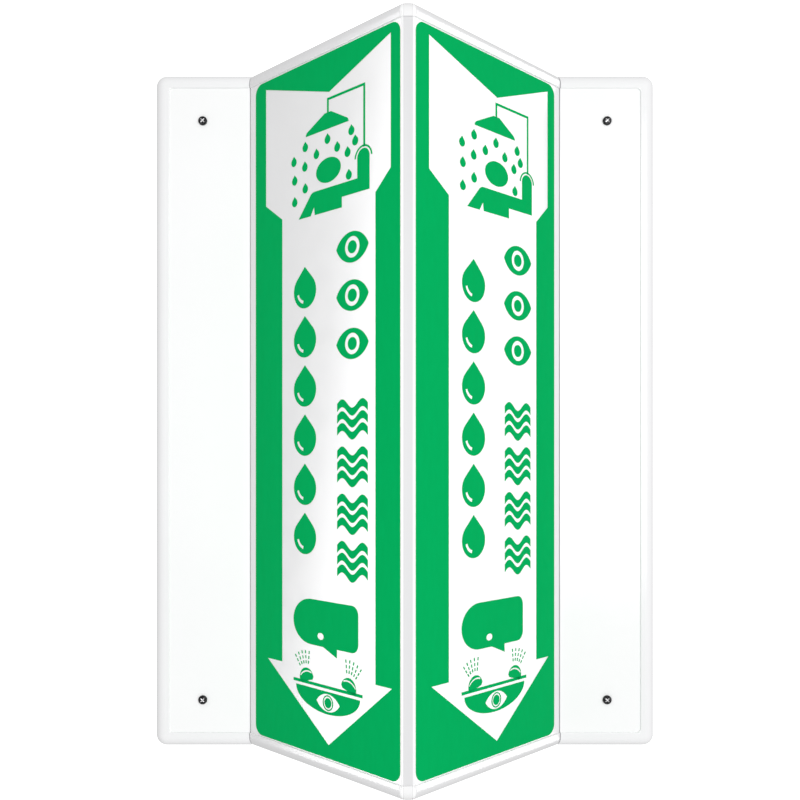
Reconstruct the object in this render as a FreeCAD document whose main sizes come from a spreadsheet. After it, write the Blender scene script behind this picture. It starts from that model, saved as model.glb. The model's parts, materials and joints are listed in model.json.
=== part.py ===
import FreeCAD, Part

import math
import os

import Sketcher

# A projecting wall sign of white high-impact plastic: two wall flanges, two printed faces at 45 degrees
# to the wall and a narrow nose between them, joined by four upright living hinges so that it folds flat.
# Millimetres. +Z is up and the front of the sign looks along -Y. The wall's surface is the plane Y = 0,
# and the origin is the middle of the four fixing holes on that plane.
# Every panel is drawn in a frame of its own: X along its width, its open back on Y = 0, its front on -Y.

SIZES = {
    # mouldings
    "sign_height": 609.6,
    "face_width": 190.5,
    "flange_width": 87.0,
    "nose_width": 7.3,
    "rim_depth": 12.7,
    "rim_width": 13.2,
    "rim_roll": 9.5,
    "bead_rise": 1.2,
    "skin": 2.5,
    "flange_corner": 10.0,
    "recess_corner": 4.0,
    "step_round": 0.5,
    # folds
    "fold_angle": 45.0,
    "groove_gap": 1.2,
    "web_skin": 0.6,
    "nose_bend_radius": 2.6,
    "web_end_gap": 3.6,
    "nose_web_stop": 0.5,
    # fixings
    "hole_spacing_across": 366.0,
    "hole_spacing_up": 524.0,
    "hole_radius": 2.3,
    "boss_radius": 5.0,
    "thread_radius": 2.08,
    "neck_radius": 1.75,
    "screw_length": 38.0,
    "screw_point": 6.0,
    "screw_head_radius": 4.0,
    "screw_head_height": 2.4,
    "screw_head_round": 1.5,
    "recess_reach": 2.3,
    "recess_wing": 0.5,
    "recess_sink": 1.5,
    # printed field on each face, measured from its left edge as it is read
    "film_thick": 0.25,
    "field_margin": 8.8,
    "field_width": 181.2,
    "field_height": 581.0,
    "field_corner": 9.0,
    "tail_left": 14.8,
    "tail_right": 171.2,
    "tail_top": 283.5,
    "tail_base": 180.0,
    "notch_across": 99.5,
    "notch_height": 258.0,
    "shaft_left": 37.8,
    "shaft_right": 154.3,
    "shaft_top": 164.2,
    "barb_left": 17.4,
    "barb_right": 172.4,
    "barb_height": -220.0,
    "point_across": 98.8,
    "point_height": -279.5,
}

OVERRUN = 5.0  # how far a cutting outline runs past the edge that it cuts

doc = FreeCAD.newDocument("projecting_sign")
sheet = doc.addObject("Spreadsheet::Sheet", "Sizes")
for row, (name, value) in enumerate(SIZES.items(), start=1):
    sheet.set(f"A{row}", name)
    sheet.set(f"B{row}", str(value))
    sheet.setAlias(f"B{row}", name)
doc.recompute()

# Heights above a panel's open back, as expressions for the document.
FRONT = "(Sizes.rim_depth - Sizes.bead_rise)"
WEB = "(Sizes.rim_depth - Sizes.bead_rise - Sizes.skin)"
HALF_HEIGHT = "(Sizes.sign_height / 2)"
HALF_FOLD = "tan(Sizes.fold_angle / 2)"


# ---------------------------------------------------------------- drawing helpers


def new_body(label):
    body = doc.addObject("PartDesign::Body", label)
    body.Label = label
    return body


def new_sketch(body, name, plane="XZ_Plane", offset=None):
    """A sketch on one of the body's own planes, moved along its normal by an expression."""
    sketch = body.newObject("Sketcher::SketchObject", f"{body.Label}_{name}")
    support = next(f for f in body.Origin.OriginFeatures if f.Role == plane)
    sketch.AttachmentSupport = [(support, "")]
    sketch.MapMode = "FlatFace"
    if offset:
        sketch.setExpression(".AttachmentOffset.Base.z", offset)
    return sketch


def add_polygon(sketch, points):
    """A closed outline whose corners are pairs of expressions, measured from the sketch's origin."""
    first = sketch.GeometryCount
    count = len(points)
    for i in range(count):
        start = [2 * math.pi * (i + k) / count for k in (0, 1)]
        ends = [FreeCAD.Vector(math.cos(a), math.sin(a), 0) for a in start]
        sketch.addGeometry(Part.LineSegment(*ends))
    for i in range(count):
        following = first + (i + 1) % count
        sketch.addConstraint(Sketcher.Constraint("Coincident", first + i, 2, following, 1))
    for i, (across, up) in enumerate(points):
        for kind, expression in (("DistanceX", across), ("DistanceY", up)):
            number = sketch.addConstraint(Sketcher.Constraint(kind, -1, 1, first + i, 1, 1.0))
            sketch.setExpression(f"Constraints[{number}]", expression)


def add_circle(sketch, across, up, radius):
    centre = FreeCAD.Vector(1, 1, 0)
    circle = sketch.addGeometry(Part.Circle(centre, FreeCAD.Vector(0, 0, 1), 1.0))
    sizes = (
        Sketcher.Constraint("DistanceX", -1, 1, circle, 3, 1.0),
        Sketcher.Constraint("DistanceY", -1, 1, circle, 3, 1.0),
        Sketcher.Constraint("Radius", circle, 1.0),
    )
    for constraint, expression in zip(sizes, (across, up, radius)):
        number = sketch.addConstraint(constraint)
        sketch.setExpression(f"Constraints[{number}]", expression)


def add_feature(body, kind, name, sketch, length, reverse=False, both_ways=False):
    """A pad or pocket of a stated length; a pocket that removes nothing stops the script."""
    before = body.Shape.Volume if body.Tip else 0.0
    feature = body.newObject(f"PartDesign::{kind}", f"{body.Label}_{name}")
    feature.Profile = sketch
    feature.setExpression("Length", length)
    feature.Reversed = reverse
    if both_ways:
        feature.SideType = "Symmetric"
    doc.recompute()
    if kind == "Pocket" and not body.Shape.Volume < before - 1e-3:
        raise RuntimeError(f"{feature.Name} cuts nothing")
    return feature


def round_edges(body, name, radius, wanted):
    """Rounds the edges of the body so far for whose middle and direction wanted() is true."""
    base = body.Tip
    chosen = []
    for number, edge in enumerate(base.Shape.Edges, start=1):
        middle = edge.valueAt((edge.FirstParameter + edge.LastParameter) / 2)
        run = edge.Vertexes[-1].Point - edge.Vertexes[0].Point
        if wanted(middle, run):
            chosen.append(f"Edge{number}")
    fillet = body.newObject("PartDesign::Fillet", f"{body.Label}_{name}")
    fillet.Base = (base, chosen)
    fillet.setExpression("Radius", radius)
    doc.recompute()
    return fillet


def near(a, b):
    return abs(a - b) < 0.01


# ---------------------------------------------------------------- panels


def cut_end(body, width, side, fold):
    """Trims one upright end of a panel. At a valley fold the front leans back by half the fold;
    at a nose fold the part behind the hinge skin is mitred by half the fold."""
    if fold == "valley":
        level = f"-{WEB}"
        far = f"-(Sizes.rim_depth + {OVERRUN})"
        reach = f"(Sizes.rim_depth + {OVERRUN} - {WEB})"
    else:
        level = f"-({FRONT} - Sizes.web_skin)"
        far = f"{OVERRUN}"
        reach = f"({FRONT} - Sizes.web_skin + {OVERRUN})"
    edge = width if side > 0 else "0"
    sketch = new_sketch(body, f"{fold}_{'end' if side > 0 else 'start'}", "XY_Plane")
    points = [
        (edge, level),
        (f"{edge} + {side * OVERRUN}", level),
        (f"{edge} + {side * OVERRUN}", far),
        (f"{edge} - {side} * {reach} * {HALF_FOLD}", far),
    ]
    add_polygon(sketch, points)
    name = f"{fold}_cut_{'end' if side > 0 else 'start'}"
    add_feature(body, "Pocket", name, sketch, "2 * Sizes.sign_height", both_ways=True)


def inset_outline(side_rim, width, inset):
    """A rectangle inset from the rimmed edges, running out past the edges that have no rim."""
    left = inset if side_rim else f"-{OVERRUN}"
    right = f"{width} + {OVERRUN}"
    top = f"{HALF_HEIGHT} - {inset}"
    return [(left, f"-({top})"), (right, f"-({top})"), (right, top), (left, top)]


def make_panel(label, width, start, end):
    """A shallow tray open at the back. Its rim is a rolled bead along the top and bottom, and up the
    starting edge too where start is "rim"."""
    side_rim = start == "rim"
    height = SIZES["sign_height"]
    body = new_body(label)

    outline = new_sketch(body, "outline")
    corners = [("0", f"-{HALF_HEIGHT}"), (width, f"-{HALF_HEIGHT}"), (width, HALF_HEIGHT), ("0", HALF_HEIGHT)]
    add_polygon(outline, corners)
    add_feature(body, "Pad", "block", outline, "Sizes.rim_depth")

    def edge_tests(inset, level):
        """Tests for the upright corners and for the level edges of an outline inset from the rims."""
        top = height / 2 - inset

        def at_corner(p, run):
            return side_rim and near(p.x, inset) and near(abs(p.z), top)

        def on_level(p, run):
            inside = min(top - abs(p.z), p.x - inset if side_rim else height)
            return near(p.y, -level) and abs(inside) < SIZES["flange_corner"] / 2

        return at_corner, on_level

    cavity = new_sketch(body, "cavity")
    add_polygon(cavity, inset_outline(side_rim, width, "Sizes.skin"))
    add_feature(body, "Pocket", "cavity_cut", cavity, WEB, reverse=True)
    web_level = SIZES["rim_depth"] - SIZES["bead_rise"] - SIZES["skin"]
    at_corner, on_level = edge_tests(SIZES["skin"], web_level)
    if side_rim:
        round_edges(body, "cavity_corners", "Sizes.flange_corner - Sizes.skin", at_corner)
    round_edges(body, "inner_roll", "Sizes.rim_roll - Sizes.skin - Sizes.bead_rise", on_level)

    at_corner, on_level = edge_tests(0.0, SIZES["rim_depth"])
    if side_rim:
        round_edges(body, "corners", "Sizes.flange_corner", at_corner)
    round_edges(body, "roll", "Sizes.rim_roll", on_level)

    recess = new_sketch(body, "recess", offset="Sizes.rim_depth")
    add_polygon(recess, inset_outline(side_rim, width, "Sizes.rim_width"))
    add_feature(body, "Pocket", "recess_cut", recess, "Sizes.bead_rise")
    at_corner, on_step = edge_tests(SIZES["rim_width"], SIZES["rim_depth"])
    if side_rim:
        round_edges(body, "recess_corners", "Sizes.recess_corner", at_corner)
    round_edges(body, "bead_round", "Sizes.step_round", on_step)

    if start != "rim":
        cut_end(body, width, -1, start)
    cut_end(body, width, 1, end)
    return body


def add_fixing_points(body):
    """Two round bosses that reach the wall, each with a hole for a screw."""
    across = f"({fold_line:.4f} + Sizes.flange_width - Sizes.hole_spacing_across / 2)"
    bosses = new_sketch(body, "bosses")
    holes = new_sketch(body, "holes")
    for sign in ("-", ""):
        up = f"{sign}(Sizes.hole_spacing_up / 2)"
        add_circle(bosses, across, up, "Sizes.boss_radius")
        add_circle(holes, across, up, "Sizes.hole_radius")
    add_feature(body, "Pad", "boss_pad", bosses, WEB)
    add_feature(body, "Pocket", "hole_cut", holes, "Sizes.rim_depth * 2", both_ways=True)


# ---------------------------------------------------------------- hinge skins


def make_valley_web(label):
    """The flat skin left at the bottom of the groove between a flange and a face."""
    web = doc.addObject("Part::Box", label)
    web.Label = label
    web.setExpression("Length", "Sizes.groove_gap")
    web.setExpression("Width", "Sizes.web_skin")
    web.setExpression("Height", "Sizes.sign_height - 2 * Sizes.web_end_gap")
    return web


def make_nose_web(label):
    """The skin bent between a face and the nose strip. Its section follows the rolled rim at the top and
    bottom, and turns by the fold about the upright axis of the bend."""
    roll = SIZES["rim_roll"]
    thick = SIZES["web_skin"]
    bend = SIZES["nose_bend_radius"]
    crest = bend + SIZES["bead_rise"]
    roll_start = SIZES["sign_height"] / 2 - roll
    bead_edge = SIZES["sign_height"] / 2 - SIZES["rim_width"]

    def on_roll(radius, share):
        """A point of the rolled rim, from its crest (0) to where the skin stops near the axis (1)."""
        angle = share * math.acos((SIZES["nose_web_stop"] - crest + roll) / radius)
        return (crest - roll + radius * math.cos(angle), roll_start + radius * math.sin(angle))

    def rim_end(sign):
        """The section's edges over one rim, from the outer flat round to the inner flat."""

        def place(point):
            return FreeCAD.Vector(point[0], 0, sign * point[1])

        step = [place((bend, bead_edge)), place((crest, bead_edge)), place((crest, roll_start))]
        outer = [place(on_roll(roll, share)) for share in (0, 0.5, 1)]
        inner = [place(on_roll(roll - thick, share)) for share in (1, 0.5, 0)]
        back = [
            place((crest - thick, roll_start)),
            place((crest - thick, bead_edge + thick)),
            place((bend - thick, bead_edge + thick)),
        ]
        straight = list(zip(step, step[1:])) + [(outer[2], inner[0])] + list(zip(back, back[1:]))
        curved = [Part.Arc(*outer).toShape(), Part.Arc(*inner).toShape()]
        lines = [Part.LineSegment(a, b).toShape() for a, b in straight]
        return lines + curved, step[0], back[-1]

    upper, upper_outer, upper_inner = rim_end(1)
    lower, lower_outer, lower_inner = rim_end(-1)
    flats = [
        Part.LineSegment(lower_outer, upper_outer).toShape(),
        Part.LineSegment(lower_inner, upper_inner).toShape(),
    ]
    section = Part.Face(Part.Wire(Part.__sortEdges__(upper + lower + flats)))
    web = doc.addObject("Part::Feature", label)
    web.Label = label
    web.Shape = section.revolve(FreeCAD.Vector(), FreeCAD.Vector(0, 0, 1), SIZES["fold_angle"])
    return web


# ---------------------------------------------------------------- printed field


def make_field(label, flipped):
    """The green printed field of a face, with the white arrow left open. It reads from the same side on
    both faces, so the outline is mirrored for the face that is turned end over end."""

    def across(name):
        inside = f"(Sizes.field_width - Sizes.{name})" if flipped else f"Sizes.{name}"
        return f"Sizes.field_margin + {inside}"

    def up(name):
        return f"{'-' if flipped else ''}Sizes.{name}"

    body = new_body(label)
    sketch = new_sketch(body, "outline", offset=FRONT)
    left = "Sizes.field_margin"
    right = "Sizes.field_margin + Sizes.field_width"
    top = "Sizes.field_height / 2"
    add_polygon(sketch, [(left, f"-{top}"), (right, f"-{top}"), (right, top), (left, top)])
    arrow = [
        ("tail_left", "tail_top"),
        ("notch_across", "notch_height"),
        ("tail_right", "tail_top"),
        ("tail_right", "tail_base"),
        ("shaft_right", "shaft_top"),
        ("shaft_right", "barb_height"),
        ("barb_right", "barb_height"),
        ("point_across", "point_height"),
        ("barb_left", "barb_height"),
        ("shaft_left", "barb_height"),
        ("shaft_left", "shaft_top"),
        ("tail_left", "tail_base"),
    ]
    add_polygon(sketch, [(across(x), up(z)) for x, z in arrow])
    add_feature(body, "Pad", "film", sketch, "Sizes.film_thick")
    edges = (SIZES["field_margin"], SIZES["field_margin"] + SIZES["field_width"])

    def at_corner(p, run):
        on_side = any(near(p.x, edge) for edge in edges)
        return on_side and near(abs(p.z), SIZES["field_height"] / 2) and abs(run.y) > 0

    round_edges(body, "corners", "Sizes.field_corner", at_corner)
    return body


# ---------------------------------------------------------------- fixings


def add_turned(body, points):
    """Turns an outline drawn as (radius, Y) about the Y axis."""
    sketch = new_sketch(body, "section", "XY_Plane")
    add_polygon(sketch, points)
    turned = body.newObject("PartDesign::Revolution", f"{body.Label}_turned")
    turned.Profile = sketch
    turned.ReferenceAxis = (sketch, ["V_Axis"])
    turned.Angle = 360
    doc.recompute()


def make_screw(label):
    """A pan-head screw with a cross recess, its head resting on the flange's front. Its plain neck is as
    long as the flange is deep, and its thread, drawn as a plain cylinder, starts at the wall."""
    body = new_body(label)
    head = f"({FRONT} + Sizes.screw_head_height)"
    tip = f"(Sizes.screw_length - {FRONT})"
    section = [
        ("0", tip),
        ("Sizes.thread_radius", f"{tip} - Sizes.screw_point"),
        ("Sizes.thread_radius", "0"),
        ("Sizes.neck_radius", "0"),
        ("Sizes.neck_radius", f"-{FRONT}"),
        ("Sizes.screw_head_radius", f"-{FRONT}"),
        ("Sizes.screw_head_radius", f"-{head}"),
        ("0", f"-{head}"),
    ]
    add_turned(body, section)
    head_level = SIZES["rim_depth"] - SIZES["bead_rise"] + SIZES["screw_head_height"]
    round_edges(body, "head_round", "Sizes.screw_head_round", lambda p, run: near(p.y, -head_level))
    for name, x, z in (("slot_a", "recess_reach", "recess_wing"), ("slot_b", "recess_wing", "recess_reach")):
        sketch = new_sketch(body, name, offset=head)
        x, z = f"Sizes.{x}", f"Sizes.{z}"
        add_polygon(sketch, [(f"-{x}", f"-{z}"), (x, f"-{z}"), (x, z), (f"-{x}", z)])
        add_feature(body, "Pocket", f"{name}_cut", sketch, "Sizes.recess_sink")
    return body


# ---------------------------------------------------------------- where everything stands


def heading(degrees):
    """The unit vector of a compass direction in the plan, from +X towards +Y."""
    angle = math.radians(degrees)
    return FreeCAD.Vector(math.cos(angle), math.sin(angle), 0)


def turn(degrees, axis=FreeCAD.Vector(0, 0, 1)):
    return FreeCAD.Rotation(axis, degrees)


fold = SIZES["fold_angle"]
front_level = SIZES["rim_depth"] - SIZES["bead_rise"]
web_level = front_level - SIZES["skin"]
bend_chord = 2 * SIZES["nose_bend_radius"] * math.sin(math.radians(fold / 2))

# The left half in plan, from the nose strip's left edge out to the flange's fold, then moved in Y
# so that the flange's open back lies on the wall.
strip_edge = FreeCAD.Vector(-SIZES["nose_width"] / 2, 0, 0)
face_nose_edge = strip_edge - heading(-fold / 2) * bend_chord
face_fold_edge = face_nose_edge - heading(-fold) * SIZES["face_width"]
face_origin = face_fold_edge - turn(-fold).multVec(FreeCAD.Vector(0, -front_level, 0))
face_web_edge = face_origin + turn(-fold).multVec(FreeCAD.Vector(0, -web_level, 0))
flange_web_edge = face_web_edge - heading(-fold / 2) * SIZES["groove_gap"]
to_wall = FreeCAD.Vector(0, -web_level - flange_web_edge.y, 0)
fold_line = -flange_web_edge.x

flange_place = FreeCAD.Placement(FreeCAD.Vector(-fold_line - SIZES["flange_width"], 0, 0), turn(0))
face_place = FreeCAD.Placement(face_origin + to_wall, turn(-fold))
strip_place = FreeCAD.Placement(strip_edge + to_wall + FreeCAD.Vector(0, front_level, 0), turn(0))
bend_axis = strip_edge + to_wall + FreeCAD.Vector(0, SIZES["nose_bend_radius"], 0)
nose_web_place = FreeCAD.Placement(bend_axis, turn(-90 - fold))
web_foot = flange_web_edge + to_wall + FreeCAD.Vector(0, 0, SIZES["web_end_gap"] - SIZES["sign_height"] / 2)
valley_web_place = FreeCAD.Placement(
    web_foot - turn(-fold / 2).multVec(FreeCAD.Vector(0, SIZES["web_skin"], 0)), turn(-fold / 2)
)
TURNED_OVER = FreeCAD.Placement(FreeCAD.Vector(), turn(180, FreeCAD.Vector(0, 1, 0)))

# The right half is the left half turned end over end about the Y axis.
parts = []
for side_name, half in (("left", FreeCAD.Placement()), ("right", TURNED_OVER)):
    flange = make_panel(f"{side_name}_flange", "Sizes.flange_width", "rim", "valley")
    add_fixing_points(flange)
    pieces = [
        (flange, flange_place),
        (make_panel(f"{side_name}_face", "Sizes.face_width", "valley", "nose"), face_place),
        (make_valley_web(f"{side_name}_flange_hinge"), valley_web_place),
        (make_nose_web(f"{side_name}_nose_hinge"), nose_web_place),
        (make_field(f"{side_name}_print", side_name == "right"), face_place),
    ]
    for piece, place in pieces:
        piece.Placement = half.multiply(place)
        parts.append(piece)

nose_strip = make_panel("nose_strip", "Sizes.nose_width", "nose", "nose")
nose_strip.Placement = strip_place
parts.append(nose_strip)

for across_name, x in (("left", -0.5), ("right", 0.5)):
    for up_name, z in (("upper", 0.5), ("lower", -0.5)):
        hole = FreeCAD.Vector(x * SIZES["hole_spacing_across"], 0, z * SIZES["hole_spacing_up"])
        screw = make_screw(f"{up_name}_{across_name}_screw")
        screw.Placement = FreeCAD.Placement(hole, turn(45, FreeCAD.Vector(0, 1, 0)))
        parts.append(screw)


# ---------------------------------------------------------------- test and export


doc.recompute()
for item in doc.Objects:
    if "Invalid" in item.State or "Error" in item.State:
        raise RuntimeError(f"{item.Name} failed: {item.State}")
for piece in parts:
    if piece.Shape.isNull() or not piece.Shape.isValid() or not piece.Shape.Solids:
        raise RuntimeError(f"{piece.Label} has no valid solid")

flange_hinge = (flange_web_edge + face_web_edge) / 2 + to_wall
nose_hinge = (strip_edge + face_nose_edge) / 2 + to_wall
print(f"hinge axes, left half: flange ({flange_hinge.x:.4f}, {flange_hinge.y:.4f}),", end=" ")
print(f"nose ({nose_hinge.x:.4f}, {nose_hinge.y:.4f})")

os.makedirs("parts", exist_ok=True)
for piece in parts:
    piece.Shape.exportStep(f"parts/{piece.Label}.step")
    box = piece.Shape.BoundBox
    print(
        f"{piece.Label}: {piece.Shape.Volume:.0f} mm3, X {box.XMin:.2f}..{box.XMax:.2f},",
        f"Y {box.YMin:.2f}..{box.YMax:.2f}, Z {box.ZMin:.2f}..{box.ZMax:.2f}",
    )
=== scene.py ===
import json
import math

import bmesh
import bpy
from mathutils import Matrix, Vector


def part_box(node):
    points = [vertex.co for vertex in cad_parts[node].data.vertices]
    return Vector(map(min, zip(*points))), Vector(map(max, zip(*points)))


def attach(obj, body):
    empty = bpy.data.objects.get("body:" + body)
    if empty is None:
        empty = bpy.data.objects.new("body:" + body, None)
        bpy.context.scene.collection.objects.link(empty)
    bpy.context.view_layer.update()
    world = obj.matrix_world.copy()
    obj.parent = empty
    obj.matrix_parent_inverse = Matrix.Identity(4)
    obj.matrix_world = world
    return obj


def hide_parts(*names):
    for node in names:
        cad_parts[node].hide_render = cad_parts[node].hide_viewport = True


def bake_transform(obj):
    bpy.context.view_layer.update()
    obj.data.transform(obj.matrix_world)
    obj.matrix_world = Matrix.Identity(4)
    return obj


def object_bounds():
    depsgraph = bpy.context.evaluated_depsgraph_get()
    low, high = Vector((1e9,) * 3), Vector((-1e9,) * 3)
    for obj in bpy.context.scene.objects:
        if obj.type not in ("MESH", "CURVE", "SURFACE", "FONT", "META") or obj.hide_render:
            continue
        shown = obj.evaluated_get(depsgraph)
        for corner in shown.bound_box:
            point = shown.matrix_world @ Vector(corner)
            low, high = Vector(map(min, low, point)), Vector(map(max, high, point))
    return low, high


# Looks for a fold-flat projecting wall sign: white moulded panels, green printed faces with safety
# symbols, thin hinge skins and black screws. Lengths are in metres, except in the section on the printed
# symbols, which is in millimetres.

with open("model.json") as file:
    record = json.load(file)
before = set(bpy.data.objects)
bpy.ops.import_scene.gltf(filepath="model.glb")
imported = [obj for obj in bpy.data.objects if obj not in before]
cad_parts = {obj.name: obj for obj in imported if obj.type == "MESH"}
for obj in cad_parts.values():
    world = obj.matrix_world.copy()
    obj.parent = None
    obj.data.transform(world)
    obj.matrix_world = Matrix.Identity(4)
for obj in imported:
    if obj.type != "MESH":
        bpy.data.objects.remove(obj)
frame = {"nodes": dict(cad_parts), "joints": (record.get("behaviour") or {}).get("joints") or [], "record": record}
cad_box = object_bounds()

MM = 0.001
FILM = 0.25 * MM  # thickness of the printed ink in the CAD model
RIM = 13.2 * MM  # width of the raised rim along the top, the bottom and the flanges' outer edges
FADE = 0.3 * MM  # half the width of the border between two looks on one piece
# Painted shade: the faces and the nose are drawn in a darker copy of the flanges' white, by the next factor.
PAINTED_FACE_SHADE = 0.88  # how bright a white is on the faces and the nose, beside the same one on the flanges
RECESS = 1.7 * MM  # half the side of the square around a screw's axis in which its steel is bare
OUTER_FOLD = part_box("right_flange")[0][0]  # how far the outer folds stand from the middle of the sign
FACE_DEGREES = 45  # the angle of each face to the wall, and so to the flange and the nose beside it
SIDES = ("left", "right")


# ---------------------------------------------------------------- materials


class Look:
    """A new material with a Principled shader, and short calls for the nodes that feed it."""

    def __init__(self, name, **values):
        self.material = bpy.data.materials.new(name)
        self.material.use_nodes = True
        self.tree = self.material.node_tree
        self.shader = self.tree.nodes["Principled BSDF"]
        self.place = self.tree.nodes.new("ShaderNodeTexCoord").outputs["Object"]
        split = self.tree.nodes.new("ShaderNodeSeparateXYZ")
        self.tree.links.new(self.place, split.inputs["Vector"])
        self.across, self.into_wall, self.up = split.outputs
        for key, value in values.items():
            self.shader.inputs[key.replace("_", " ")].default_value = value

    def link(self, output, name):
        self.tree.links.new(output, self.shader.inputs[name])

    def noise(self, scale, detail=2.0, stretch=(1.0, 1.0, 1.0)):
        mapping = self.tree.nodes.new("ShaderNodeMapping")
        mapping.inputs["Scale"].default_value = stretch
        node = self.tree.nodes.new("ShaderNodeTexNoise")
        node.inputs["Scale"].default_value = scale
        node.inputs["Detail"].default_value = detail
        self.tree.links.new(self.place, mapping.inputs["Vector"])
        self.tree.links.new(mapping.outputs["Vector"], node.inputs["Vector"])
        return node.outputs["Fac"]

    def spread(self, value, low, high, start=0.3, end=0.7):
        """Maps start..end of a value to low..high, and clamps what lies outside."""
        node = self.tree.nodes.new("ShaderNodeMapRange")
        ends = {"From Min": start, "From Max": end, "To Min": low, "To Max": high}
        for name, number in ends.items():
            node.inputs[name].default_value = number
        self.tree.links.new(value, node.inputs["Value"])
        return node.outputs["Result"]

    def calculate(self, operation, *values):
        """The result of a Math node on numbers or outputs."""
        node = self.tree.nodes.new("ShaderNodeMath")
        node.operation = operation
        for socket, value in zip(node.inputs, values):
            if isinstance(value, float):
                socket.default_value = value
            else:
                self.tree.links.new(value, socket)
        return node.outputs["Value"]

    def from_middle(self, coordinate):
        """How far a coordinate is from the middle of the sign."""
        return self.calculate("ABSOLUTE", coordinate)

    def mix(self, factor, first, second):
        """Blends two colours, or the colours that two outputs carry."""
        node = self.tree.nodes.new("ShaderNodeMix")
        node.data_type = "RGBA"
        self.tree.links.new(factor, node.inputs["Factor"])
        for name, colour in (("A", first), ("B", second)):
            if isinstance(colour, tuple):
                node.inputs[name].default_value = (*colour, 1.0)
            else:
                self.tree.links.new(colour, node.inputs[name])
        return node.outputs["Result"]

    def bump(self, height, strength, distance):
        node = self.tree.nodes.new("ShaderNodeBump")
        node.inputs["Strength"].default_value = strength
        node.inputs["Distance"].default_value = distance
        self.tree.links.new(height, node.inputs["Height"])
        self.link(node.outputs["Normal"], "Normal")

    def on_rims(self):
        """1 on the raised rims, which run along every panel's top and bottom and up the two outer
        edges of the sign, and 0 on the flats between them."""
        masks = []
        for coordinate, outer in ((self.across, cad_box[1][0]), (self.up, cad_box[1][2])):
            start = outer - RIM
            masks.append(self.spread(self.from_middle(coordinate), 0.0, 1.0, start - FADE, start + FADE))
        return self.calculate("MAXIMUM", *masks)

    def on_faces(self):
        """1 on the faces and the nose, where the whites carry painted shade, and 0 on the flanges outside the two
        outer folds.
        """
        distance = self.from_middle(self.across)
        return self.spread(distance, 1.0, 0.0, OUTER_FOLD - FADE, OUTER_FOLD + FADE)

    def near_screw_axes(self):
        """1 in the screws' driver recesses and in stripes along their shanks, where the steel behind the
        heads' fronts lies in a square around each axis and the painted highlight goes, and 0 on the rest of the
        screws."""
        low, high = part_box("upper_right_screw")
        front, depth = low[1] + 0.1 * MM, low[1] + 0.3 * MM
        mask = self.spread(self.into_wall, 0.0, 1.0, front, depth)
        for coordinate, number in ((self.across, 0), (self.up, 2)):
            axis = (low[number] + high[number]) / 2
            offset = self.calculate("SUBTRACT", self.from_middle(coordinate), axis)
            offset = self.calculate("ABSOLUTE", offset)
            near = self.spread(offset, 1.0, 0.0, RECESS, RECESS + 0.2 * MM)
            mask = self.calculate("MULTIPLY", mask, near)
        return mask

    def dimmed(self, colour, share):
        """A colour output multiplied by a share."""
        node = self.tree.nodes.new("ShaderNodeVectorMath")
        node.operation = "SCALE"
        node.inputs["Scale"].default_value = share
        self.tree.links.new(colour, node.inputs[0])
        return node.outputs["Vector"]


def moulded_plastic(name, flat, rim, roughness):
    """Glossy white sheet plastic: faintly cloudy, with a fine orange-peel skin and uneven gloss. flat and
    rim are its whites on flats and on rims, and the darker of the two is painted shade; both are scaled
    down on the faces and the nose, which is painted shade there as well."""
    look = Look(name, IOR=1.5, Specular_IOR_Level=0.7)
    clouds = look.spread(look.noise(9.0, 3.0), 0.0, 1.0)
    flats = look.mix(clouds, flat, tuple(0.985 * c for c in flat))
    rims = look.mix(clouds, rim, tuple(0.98 * c for c in rim))
    # Where the rim colour is the darker one, the rims carry painted shade.
    panel = look.mix(look.on_rims(), flats, rims)
    # Painted shade: on the faces and the nose both whites are scaled down.
    face = look.mix(look.on_rims(), look.dimmed(flats, PAINTED_FACE_SHADE), look.dimmed(rims, PAINTED_FACE_SHADE))
    look.link(look.mix(look.on_faces(), panel, face), "Base Color")
    look.link(look.spread(look.noise(60.0, 2.0), roughness - 0.03, roughness + 0.03), "Roughness")
    look.bump(look.noise(900.0, 1.0), 0.1, 0.02 * MM)
    return look.material


def hinge_plastic(name, nose, flange):
    """The thin skins of the living hinges: as white as the panels beside the nose, and drawn dark beside the
    flanges, which is painted shade in the creases of the outer folds."""
    look = Look(name, IOR=1.5, Specular_IOR_Level=0.5)
    from_nose = look.spread(look.from_middle(look.across), 0.0, 1.0, 0.4 * OUTER_FOLD, 0.6 * OUTER_FOLD)
    clouds = look.spread(look.noise(40.0, 3.0), 0.0, 1.0)
    bright = look.mix(clouds, nose, tuple(0.98 * c for c in nose))
    # Painted shade in the creases of the outer folds.
    painted_crease_shade = look.mix(clouds, flange, tuple(0.94 * c for c in flange))
    look.link(look.mix(from_nose, bright, painted_crease_shade), "Base Color")
    look.link(look.spread(look.noise(60.0, 2.0), 0.32, 0.4), "Roughness")
    look.bump(look.noise(900.0, 1.0), 0.1, 0.02 * MM)
    return look.material


def screen_ink(name, light, shade):
    """Opaque printed ink: satin, with the slight mottle and upright pull streaks of a screen print."""
    look = Look(name, IOR=1.45, Specular_IOR_Level=0.02)
    mottle = look.spread(look.noise(240.0, 3.0, stretch=(1.0, 1.0, 0.3)), 0.0, 1.0)
    look.link(look.mix(mottle, light, shade), "Base Color")
    look.link(look.spread(look.noise(120.0, 2.0), 0.5, 0.62), "Roughness")
    look.bump(look.noise(2600.0, 1.0), 0.08, 0.01 * MM)
    return look.material


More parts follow.
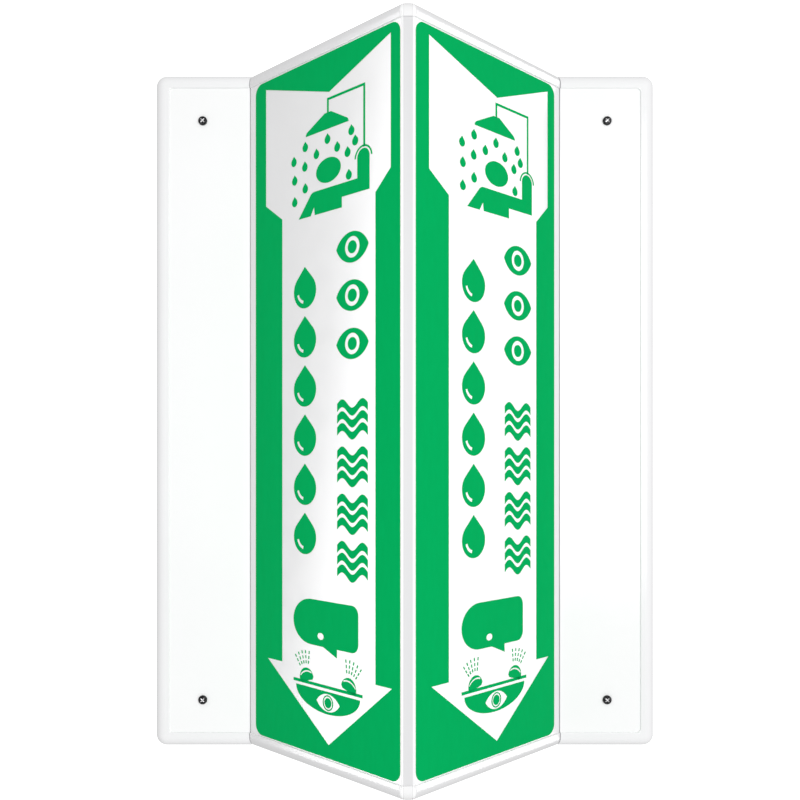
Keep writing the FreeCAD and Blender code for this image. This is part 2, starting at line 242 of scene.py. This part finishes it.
def black_zinc(name):
    """Black zinc plating, lighter where it is rubbed, with a bright steel colour, a painted highlight, in the
    driver's recess and in stripes along the shank."""
    look = Look(name, Metallic=0.85)
    wear = look.spread(look.noise(650.0, 4.0), 0.0, 1.0, 0.45, 0.75)
    plating = look.mix(wear, (0.012, 0.012, 0.013), (0.09, 0.09, 0.095))
    # Painted highlight: bright steel colour in the driver recesses and in stripes along the shanks.
    look.link(look.mix(look.near_screw_axes(), plating, (0.9, 0.9, 0.91)), "Base Color")
    look.link(look.spread(look.noise(1500.0, 2.0), 0.25, 0.42), "Roughness")
    look.bump(look.noise(3000.0, 2.0), 0.1, 0.01 * MM)
    return look.material


SLOT_LOOKS = {
    "white_plastic": moulded_plastic(
        # Painted shade: the rim white is darker than the flat white, for the rolled rims.
        "white_plastic_look", flat=(0.96, 0.96, 0.965), rim=(0.9, 0.9, 0.91), roughness=0.17
    ),
    "nose_plastic": moulded_plastic(
        # Painted shade: the nose's flat white is darker than its rim white, for the strip down the nose.
        "nose_plastic_look", flat=(0.775, 0.775, 0.785), rim=(0.95, 0.95, 0.955), roughness=0.36
    ),
    # The dark flange colour is painted shade in the creases of the outer folds.
    "hinge_skin": hinge_plastic("hinge_skin_look", nose=(0.93, 0.93, 0.935), flange=(0.22, 0.22, 0.23)),
    "green_print": screen_ink("green_print_look", light=(0.0, 0.415, 0.108), shade=(0.0, 0.4, 0.103)),
    "black_screw": black_zinc("black_screw_look"),
}
for subpart in frame["record"]["subparts"]:
    for slot in frame["nodes"][subpart["node"]].material_slots:
        slot.material = SLOT_LOOKS[subpart["material_slot"]]


# ---------------------------------------------------------------- pieces


def add_piece(name, mesh, slot_name):
    """An object for a mesh, in its slot's material, with smooth faces and sharp edges over 30 degrees."""
    mesh.materials.clear()
    mesh.materials.append(SLOT_LOOKS[slot_name])
    mesh.shade_smooth()
    mesh.set_sharp_from_angle(angle=math.radians(30))
    piece = bpy.data.objects.new(name, mesh)
    bpy.context.scene.collection.objects.link(piece)
    return piece


SKIN_STRIPS = 8  # flat strips across a bending hinge skin
WELD = 0.002 * MM  # how close two corners lie that are one corner


def add_hinge_skin(node_name, joint_name, across):
    """A living hinge's skin, cut into narrow flat strips in place of its CAD node. across is the
    direction from body_a's edge to body_b's edge, and strips are cut square to it."""
    source = frame["nodes"][node_name]
    joint = next(j for j in frame["joints"] if j["name"] == joint_name)
    middle = Vector(joint["pos_m"])
    reach = [(vertex.co - middle).dot(across) for vertex in source.data.vertices]
    start, end = min(reach), max(reach)
    build = bmesh.new()
    build.from_mesh(source.data)
    bmesh.ops.remove_doubles(build, verts=build.verts, dist=WELD)
    for k in range(1, SKIN_STRIPS):
        place = middle + across * (start + (end - start) * k / SKIN_STRIPS)
        everything = build.verts[:] + build.edges[:] + build.faces[:]
        bmesh.ops.bisect_plane(build, geom=everything, plane_co=place, plane_no=across)
    mesh = bpy.data.meshes.new(f"{node_name}_skin")
    build.to_mesh(mesh)
    build.free()
    piece = add_piece(f"{node_name}_skin", mesh, "hinge_skin")
    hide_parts(node_name)
    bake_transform(piece)


def heading(degrees):
    """The unit vector of a compass direction in the plan, from +X towards +Y."""
    angle = math.radians(degrees)
    return Vector((math.cos(angle), math.sin(angle), 0))


# The panels on either side of a hinge stand FACE_DEGREES apart, and its skin lies half-way between them.
LEFT_ACROSS = heading(-FACE_DEGREES / 2)
RIGHT_ACROSS = heading(FACE_DEGREES / 2)
add_hinge_skin("left_flange_hinge", "left_flange_fold", LEFT_ACROSS)
add_hinge_skin("left_nose_hinge", "left_nose_fold", LEFT_ACROSS)
add_hinge_skin("right_nose_hinge", "right_nose_fold", RIGHT_ACROSS)
add_hinge_skin("right_flange_hinge", "right_flange_fold", RIGHT_ACROSS)


# ---------------------------------------------------------------- printed symbols, in millimetres
# Outlines are lists of (across, up): across from the left edge of a face's printed field as it is read,
# up from mid-height. An outline inside another one is a hole in it, and one inside a hole is ink again.


def arc(across, up, wide, high, start, end, steps=24):
    """Points of an ellipse with half-sizes wide and high, from one angle to another in degrees."""
    angles = [math.radians(start + (end - start) * k / steps) for k in range(steps + 1)]
    return [(across + wide * math.cos(a), up + high * math.sin(a)) for a in angles]


def ellipse(across, up, wide, high, steps=40):
    return arc(across, up, wide, high, 0, 360 * (steps - 1) / steps, steps - 1)


def band(across, up, inner, outer, start, end):
    """A thick round arc."""
    return arc(across, up, outer, outer, start, end) + arc(across, up, inner, inner, end, start)


def almond(across, up, wide, high):
    """An eye's outline: two arcs that meet in points. wide and high are half-sizes."""
    radius = (wide * wide + high * high) / (2 * high)
    half = math.degrees(math.asin(wide / radius))
    upper = arc(across, up + high - radius, radius, radius, 90 + half, 90 - half)
    lower = arc(across, up - high + radius, radius, radius, 270 + half, 270 - half)
    return upper + lower[1:-1]


def drop(across, up, width, height):
    """A water drop: the lower part of a circle, and two straight flanks to its tip."""
    radius = width / 2
    low = up - height / 2 + radius
    tip = up + height / 2
    flank = math.degrees(math.acos(radius / (tip - low)))
    return [(across, tip)] + arc(across, low, radius, radius, 90 - flank, 90 + flank - 360)


def wave(across, up, width, thick, swing):
    """A band that rises and falls one and a half times over its width."""
    steps = 36
    shares = [k / steps for k in range(steps + 1)]
    line = [(across + (t - 0.5) * width, up + swing * math.sin(3 * math.pi * t)) for t in shares]
    return [(a, z + thick / 2) for a, z in line] + [(a, z - thick / 2) for a, z in reversed(line)]


def leaning(outline, across, up, degrees):
    """An outline turned about a point."""
    angle = math.radians(degrees)
    c, s = math.cos(angle), math.sin(angle)
    moved = [(a - across, z - up) for a, z in outline]
    return [(across + c * a - s * z, up + s * a + c * z) for a, z in moved]


def shower_pipe():
    outside = [(97, 241), (97, 253.4), (142.5, 253.4), (142.5, 203)]
    inside = [(140.5, 203), (140.5, 251.4), (99, 251.4), (99, 241)]
    return outside + inside


def shower_rose():
    right = arc(118, 228, 5.2, 4.2, 0, 62, 6)
    left = arc(75, 228, 5.2, 4.2, 118, 180, 6)
    return right + [(102, 241.5), (94, 241.5)] + left


def shower_drops():
    rows = ((220, (69, 97.5, 126.5)), (210.7, (54, 83.5, 109.5, 131)), (203.5, (68.5, 122)))
    rows += ((194.5, (55,)), (185, (69, 123.5)), (176, (55,)))
    return [drop(across, up, 7.0, 8.6) for up, places in rows for across in places]


def bather():
    """A plain figure under the shower: a head, and shoulders with one arm raised to the pull handle."""
    shoulder = arc(81, 172.5, 7, 7, 145, 90, 6)
    hand = arc(140.5, 195, 7, 7, 180, 0, 16)
    shoulders = [(60.5, 160)] + shoulder + [(133.5, 179.5)] + hand
    shoulders += [(147.5, 168.5), (115, 168.5), (115, 160), (81.5, 160), (80.5, 167), (76, 160)]
    return [ellipse(98.5, 194, 15.3, 10.2), shoulders, band(140.5, 194.5, 8.8, 10.2, 4, 176)]


def bowed_head():
    """A plain head bent face-down over the basin, with a round eye left free of ink."""
    back = arc(76, -180.5, 22.5, 19, 270, 90, 24)
    crown = arc(127, -169, 7.5, 7.5, 90, 0, 8) + arc(127, -192, 7.5, 7.5, 0, -90, 8)
    nose = [(109, -199.5), (109, -206.5), (92, -199.6)]
    return [back + crown + nose, ellipse(88.8, -191.3, 4.0, 2.9, 24)]


def spray_nozzle(across, lean):
    """A domed nozzle leaning over the basin, with an arched stripe and a fan of dashed jets."""
    base = -231.0
    dome = arc(across, base + 2, 9, 9, 0, 180, 20) + [(across - 7, base), (across + 7, base)]
    stripe = band(across, base - 4, 11.5, 12.7, 52, 128)
    shapes = [leaning(outline, across, base, lean) for outline in (dome, stripe)]
    for jet in range(5):
        angle = lean + (jet - 2) * 11
        for dash in range(3):
            reach = 14.5 + 4.2 * dash
            mark = [(-0.55, reach), (0.55, reach), (0.55, reach + 2.6), (-0.55, reach + 2.6)]
            turned = leaning(mark, 0, 0, angle)
            shapes.append([(across + a, base + z) for a, z in turned])
    return shapes


def basin():
    rim = [(53.5, -233.4), (139.5, -233.4), (139.5, -230.9), (53.5, -230.9)]
    bowl = arc(96.8, -235.8, 39.8, 18.6, 180, 360, 36)
    rings = [ellipse(98, -245, radius, radius, 32) for radius in (6.4, 5.4, 4.2)]
    return [rim, bowl, almond(98, -245, 14.5, 7.4)] + rings


COLUMN_LEFT = 68.5  # middles of the two upright columns of marks
COLUMN_RIGHT = 127.5


def drop_mark(up):
    """A large drop with a curved highlight."""
    low = up - 3
    return [drop(COLUMN_LEFT, up, 29, 35), band(COLUMN_LEFT, low, 8.0, 10.6, 195, 258)]


def eye_mark(up):
    rings = [ellipse(COLUMN_RIGHT, up, radius, radius) for radius in (8.6, 5.2)]
    return [almond(COLUMN_RIGHT, up, 19, 12.5)] + rings


def wave_mark(up):
    return [wave(COLUMN_RIGHT, up + offset, 36, 6.4, 3.6) for offset in (9.6, -9.6, 0)]


def column(mark, top, pitch, count):
    """The outlines of one mark repeated downwards."""
    return [outline for k in range(count) for outline in mark(top - pitch * k)]


SYMBOLS = {
    "shower_fitting": [shower_pipe(), shower_rose()],
    "shower_drops": shower_drops(),
    "bather": bather(),
    "bowed_head": bowed_head(),
    "spray_nozzles": spray_nozzle(71.5, 16) + spray_nozzle(122.5, -16),
    "basin": basin(),
    "drop_marks": column(drop_mark, top=101, pitch=41.6, count=6),
    "eye_marks": column(eye_mark, top=126, pitch=38.7, count=3),
    "wave_marks": column(wave_mark, top=-12, pitch=38.2, count=4),
}


def field_frame(side):
    """The front of a face's printed field: the matrix whose X runs across it as it is read, whose Y is up
    and whose Z leaves the face, with its origin on the field's left edge at mid-height."""
    low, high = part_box(f"{side}_print")
    inset = FILM * math.cos(math.radians(FACE_DEGREES))
    if side == "left":
        start, end = Vector((low[0], high[1] - inset, 0)), Vector((high[0] - inset, low[1], 0))
    else:
        start, end = Vector((low[0] + inset, low[1], 0)), Vector((high[0], high[1] - inset, 0))
    along = (end - start).normalized()
    up = Vector((0, 0, 1))
    return Matrix.Translation(start) @ Matrix((along, up, along.cross(up))).transposed().to_4x4()


def add_symbol(side, name, outlines):
    """Ink as thick as the printed field's, filled between the outlines, on one face."""
    curve = bpy.data.curves.new(f"{side}_{name}_outline", "CURVE")
    curve.dimensions = "2D"
    curve.fill_mode = "BOTH"
    curve.extrude = FILM / 2
    for outline in outlines:
        spline = curve.splines.new("POLY")
        spline.use_cyclic_u = True
        spline.points.add(len(outline) - 1)
        for point, (across, up) in zip(spline.points, outline):
            point.co = (across * MM, up * MM, 0, 1)
    flat = bpy.data.objects.new(curve.name, curve)
    mesh = bpy.data.meshes.new_from_object(flat)
    bpy.data.objects.remove(flat)
    bpy.data.curves.remove(curve)
    mesh.name = f"{side}_{name}"
    mesh.transform(field_frame(side) @ Matrix.Translation((0, 0, -FILM / 2)))
    piece = add_piece(mesh.name, mesh, "green_print")
    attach(piece, f"{side}_face")


for side in SIDES:
    for name, outlines in SYMBOLS.items():
        add_symbol(side, name, outlines)


# ---------------------------------------------------------------- camera, light and stage


def add_camera():
    data = bpy.data.cameras.new("camera")
    data.lens = 41.2
    data.sensor_width = 36.0
    data.shift_x = 0.014
    data.shift_y = 0.072
    camera = bpy.data.objects.new("camera", data)
    camera.location = (-0.0146, -0.8407, -0.0428)
    camera.rotation_euler = (math.radians(90), 0, 0)
    bpy.context.scene.collection.objects.link(camera)
    bpy.context.scene.camera = camera


def add_area_light(name, place, target, width, height, radiance):
    """A rectangular light of a stated radiance, facing its target."""
    data = bpy.data.lights.new(name, "AREA")
    data.shape = "RECTANGLE"
    data.size = width
    data.size_y = height
    data.energy = radiance * width * height * math.pi
    light = bpy.data.objects.new(name, data)
    light.location = place
    aim = Vector(target) - Vector(place)
    light.rotation_euler = aim.to_track_quat("-Z", "Y").to_euler()
    bpy.context.scene.collection.objects.link(light)
    return light


def light_only(light, node_name):
    """Keeps a light's effect to one CAD node."""
    receivers = bpy.data.collections.new(f"lit_by_{light.name}")
    receivers.objects.link(frame["nodes"][node_name])
    light.light_linking.receiver_collection = receivers


def add_world(seen, lighting):
    """A plain white room: seen is its brightness to the camera, lighting what it gives to the object."""
    world = bpy.data.worlds.new("studio")
    bpy.context.scene.world = world
    world.use_nodes = True
    tree = world.node_tree
    background = tree.nodes["Background"]
    background.inputs["Color"].default_value = (1.0, 1.0, 1.0, 1.0)
    path = tree.nodes.new("ShaderNodeLightPath")
    choose = tree.nodes.new("ShaderNodeMapRange")
    choose.inputs["To Min"].default_value = lighting
    choose.inputs["To Max"].default_value = seen
    tree.links.new(path.outputs["Is Camera Ray"], choose.inputs["Value"])
    tree.links.new(choose.outputs["Result"], background.inputs["Strength"])


def add_floor(radius, drop_below):
    mesh = bpy.data.meshes.new("floor")
    build = bmesh.new()
    bmesh.ops.create_circle(build, cap_ends=True, segments=96, radius=radius)
    build.to_mesh(mesh)
    build.free()
    floor = bpy.data.objects.new("floor", mesh)
    floor.location = (0, 0, cad_box[0][2] - drop_below)
    bpy.context.scene.collection.objects.link(floor)
    look = Look("floor_look", Roughness=0.8)
    patches = look.spread(look.noise(3.0), 0.0, 1.0)
    look.link(look.mix(patches, (0.86, 0.86, 0.86), (0.84, 0.84, 0.84)), "Base Color")
    mesh.materials.append(look.material)


bpy.context.scene.view_settings.view_transform = "Standard"
add_camera()
add_world(seen=1.2, lighting=0.66)

# A large soft light from the front right, and a narrow one in front of the left face.
add_area_light("key", (0.85, -1.85, 0.25), (0, -0.05, 0), width=1.3, height=1.3, radiance=3.0)
wash = add_area_light(
    "wash", (-0.12, -0.35, -0.05), (-0.06, -0.1, -0.05), width=0.12, height=0.9, radiance=1.0
)
wash.visible_glossy = False
wash.visible_camera = False

# Two lights that act only as reflections: a leaning one that crosses the left face, and a wide one on the
# right face.
sweep = add_area_light("sweep", (-1.0, -0.3, 0.076), (0, -0.3, 0.076), width=0.5, height=1.7, radiance=4.6)
sweep.rotation_euler.rotate_axis("Z", math.radians(-8))
sweep.visible_diffuse = False
light_only(sweep, "left_face")
glare = add_area_light("glare", (1.0, -0.27, 0.076), (0, -0.27, 0.076), width=1.6, height=1.9, radiance=2.8)
glare.visible_diffuse = False
light_only(glare, "right_face")

add_floor(radius=1.5, drop_below=0.75)
